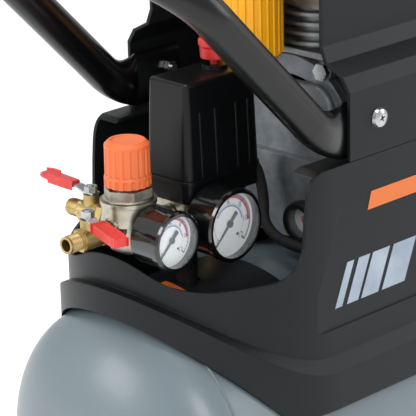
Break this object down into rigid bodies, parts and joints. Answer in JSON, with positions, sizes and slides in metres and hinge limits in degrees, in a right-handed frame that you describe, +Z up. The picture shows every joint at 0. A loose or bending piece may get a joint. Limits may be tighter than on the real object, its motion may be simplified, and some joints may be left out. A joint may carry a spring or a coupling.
{
  "type": "portable air compressor",
  "caption": "Portable direct-drive air compressor: motor pump under black covers on a horizontal grey tank, with pressure switch, regulator, gauges, ball valves, handle and wheels.",
  "frame": {"origin": "on the floor under the middle of the tank", "axes": "+X along the tank towards the wheels, -Y the side of the gauges, +Z up"},
  "size_m": [0.552, 0.288, 0.5815],
  "materials": {
    "tank_paint": "satin blue-grey paint",
    "textured_plastic": "fine-textured black moulded plastic",
    "smooth_black": "smooth black moulded plastic",
    "black_tube": "black powder coat on steel tube",
    "black_steel": "black painted pressed steel",
    "brass": "bare turned brass",
    "plated_brass": "bright brass fittings",
    "steel_lever": "plated steel with a red vinyl sleeve",
    "zinc_cast": "nickel-plated zinc casting",
    "zinc_screws": "bright zinc plating",
    "gauge_case": "black enamelled gauge case",
    "dial_white": "printed white dial",
    "clear_lens": "clear acrylic",
    "needle_black": "black enamel",
    "orange_knob": "moulded orange plastic",
    "red_knob": "moulded red plastic",
    "yellow_filter": "moulded yellow plastic",
    "cast_grey": "silver-grey paint on a casting",
    "cast_aluminium": "bare aluminium casting",
    "motor_paint": "dark grey satin paint",
    "copper_winding": "varnished copper winding on a laminated core",
    "machined_steel": "ground steel",
    "rubber_pad": "solid black rubber",
    "wheel_plastic": "grey moulded plastic",
    "tyre_rubber": "solid black rubber tyre",
    "cable_jacket": "black rubber cable jacket",
    "copper_pipe": "bare copper tube"
  },
  "bodies": {
    "machine": {"tank_shell": "tank_paint", "tank_bosses": "tank_paint", "end_plugs": "plated_brass", "front_foot": "tank_paint", "rubber_feet": "rubber_pad", "axle_brackets": "tank_paint", "axle_bolts": "zinc_screws", "drain_valve": "brass", "lower_shroud": "textured_plastic", "top_hood": "textured_plastic", "handle_tube": "black_tube", "cover_screws": "zinc_screws", "riser_pipe": "black_steel", "manifold_block": "zinc_cast", "switch_flange": "zinc_cast", "switch_base": "smooth_black", "switch_cover": "smooth_black", "cable_glands": "smooth_black", "regulator_body": "zinc_cast", "regulator_bonnet": "zinc_cast", "near_valve_body": "brass", "far_valve_body": "brass", "small_gauge_case": "gauge_case", "small_gauge_dial": "dial_white", "small_gauge_lens": "clear_lens", "large_gauge_case": "gauge_case", "large_gauge_dial": "dial_white", "large_gauge_lens": "clear_lens", "safety_valve": "brass", "crankcase": "cast_grey", "crankcase_cover": "cast_grey", "sight_glass_ring": "needle_black", "sight_glass_lens": "clear_lens", "pump_bolts": "zinc_screws", "cylinder": "cast_aluminium", "cylinder_head": "cast_aluminium", "intake_filter": "yellow_filter", "discharge_tube": "copper_pipe", "check_valve": "brass", "mount_plate": "black_steel", "motor_housing": "motor_paint", "stator": "copper_winding", "motor_end_bell": "motor_paint", "motor_lead": "cable_jacket"},
    "switch_button": {"switch_knob": "red_knob"},
    "regulator_screw": {"regulator_spindle": "machined_steel"},
    "regulator_cap": {"regulator_knob": "orange_knob"},
    "near_handle": {"near_valve_lever": "steel_lever"},
    "far_handle": {"far_valve_lever": "steel_lever"},
    "outlet_needle": {"small_gauge_pointer": "needle_black"},
    "tank_needle": {"large_gauge_pointer": "needle_black"},
    "left_roller": {"left_wheel": "wheel_plastic", "left_tyre": "tyre_rubber"},
    "right_roller": {"right_wheel": "wheel_plastic", "right_tyre": "tyre_rubber"},
    "relief_pull": {"safety_ring": "machined_steel"},
    "drain_tap": {"drain_knob": "brass"},
    "rotor": {"crankshaft": "machined_steel", "cooling_fan": "smooth_black"},
    "plunger": {"piston": "cast_aluminium"}
  },
  "joints": [
    {"name": "switch_lift", "type": "slide", "parent": "machine", "child": "switch_button", "axis": [0, 0, -1], "range_m": [0, 0.005], "stiffness_N_per_m": 300},
    {"name": "regulator_turn", "type": "hinge", "parent": "machine", "child": "regulator_screw", "pos_m": [-0.203, 0, 0.4], "axis": [0, 0, 1], "range_deg": [-360, 360]},
    {"name": "regulator_lock", "type": "slide", "parent": "regulator_screw", "child": "regulator_cap", "axis": [0, 0, 1], "range_m": [0, 0.003]},
    {"name": "near_valve_turn", "type": "hinge", "parent": "machine", "child": "near_handle", "pos_m": [-0.245, 0, 0.367], "axis": [0, 0, 1], "range_deg": [-74, 16]},
    {"name": "far_valve_turn", "type": "hinge", "parent": "machine", "child": "far_handle", "pos_m": [-0.203, 0.042, 0.367], "axis": [0, 0, 1], "range_deg": [0, 90]},
    {"name": "outlet_needle_turn", "type": "hinge", "parent": "machine", "child": "outlet_needle", "pos_m": [-0.203, -0.04, 0.349], "axis": [0, 1, 0], "range_deg": [0, 270]},
    {"name": "tank_needle_turn", "type": "hinge", "parent": "machine", "child": "tank_needle", "pos_m": [-0.143, -0.045, 0.347], "axis": [0, 1, 0], "range_deg": [0, 270]},
    {"name": "left_roll", "type": "hinge", "parent": "machine", "child": "left_roller", "pos_m": [0.155, 0.125, 0.05], "axis": [0, 1, 0], "continuous": true},
    {"name": "right_roll", "type": "hinge", "parent": "machine", "child": "right_roller", "pos_m": [0.155, -0.125, 0.05], "axis": [0, 1, 0], "continuous": true},
    {"name": "relief_lift", "type": "slide", "parent": "machine", "child": "relief_pull", "axis": [0, 1, 0], "range_m": [0, 0.003], "stiffness_N_per_m": 900},
    {"name": "drain_turn", "type": "hinge", "parent": "machine", "child": "drain_tap", "pos_m": [0, 0, 0.02], "axis": [0, 0, 1], "range_deg": [0, 90]},
    {"name": "shaft_spin", "type": "hinge", "parent": "machine", "child": "rotor", "pos_m": [0.12, 0, 0.383], "axis": [1, 0, 0], "continuous": true},
    {"name": "piston_stroke", "type": "slide", "parent": "machine", "child": "plunger", "axis": [0, 0, 1], "range_m": [-0.036, 0]}
  ]
}
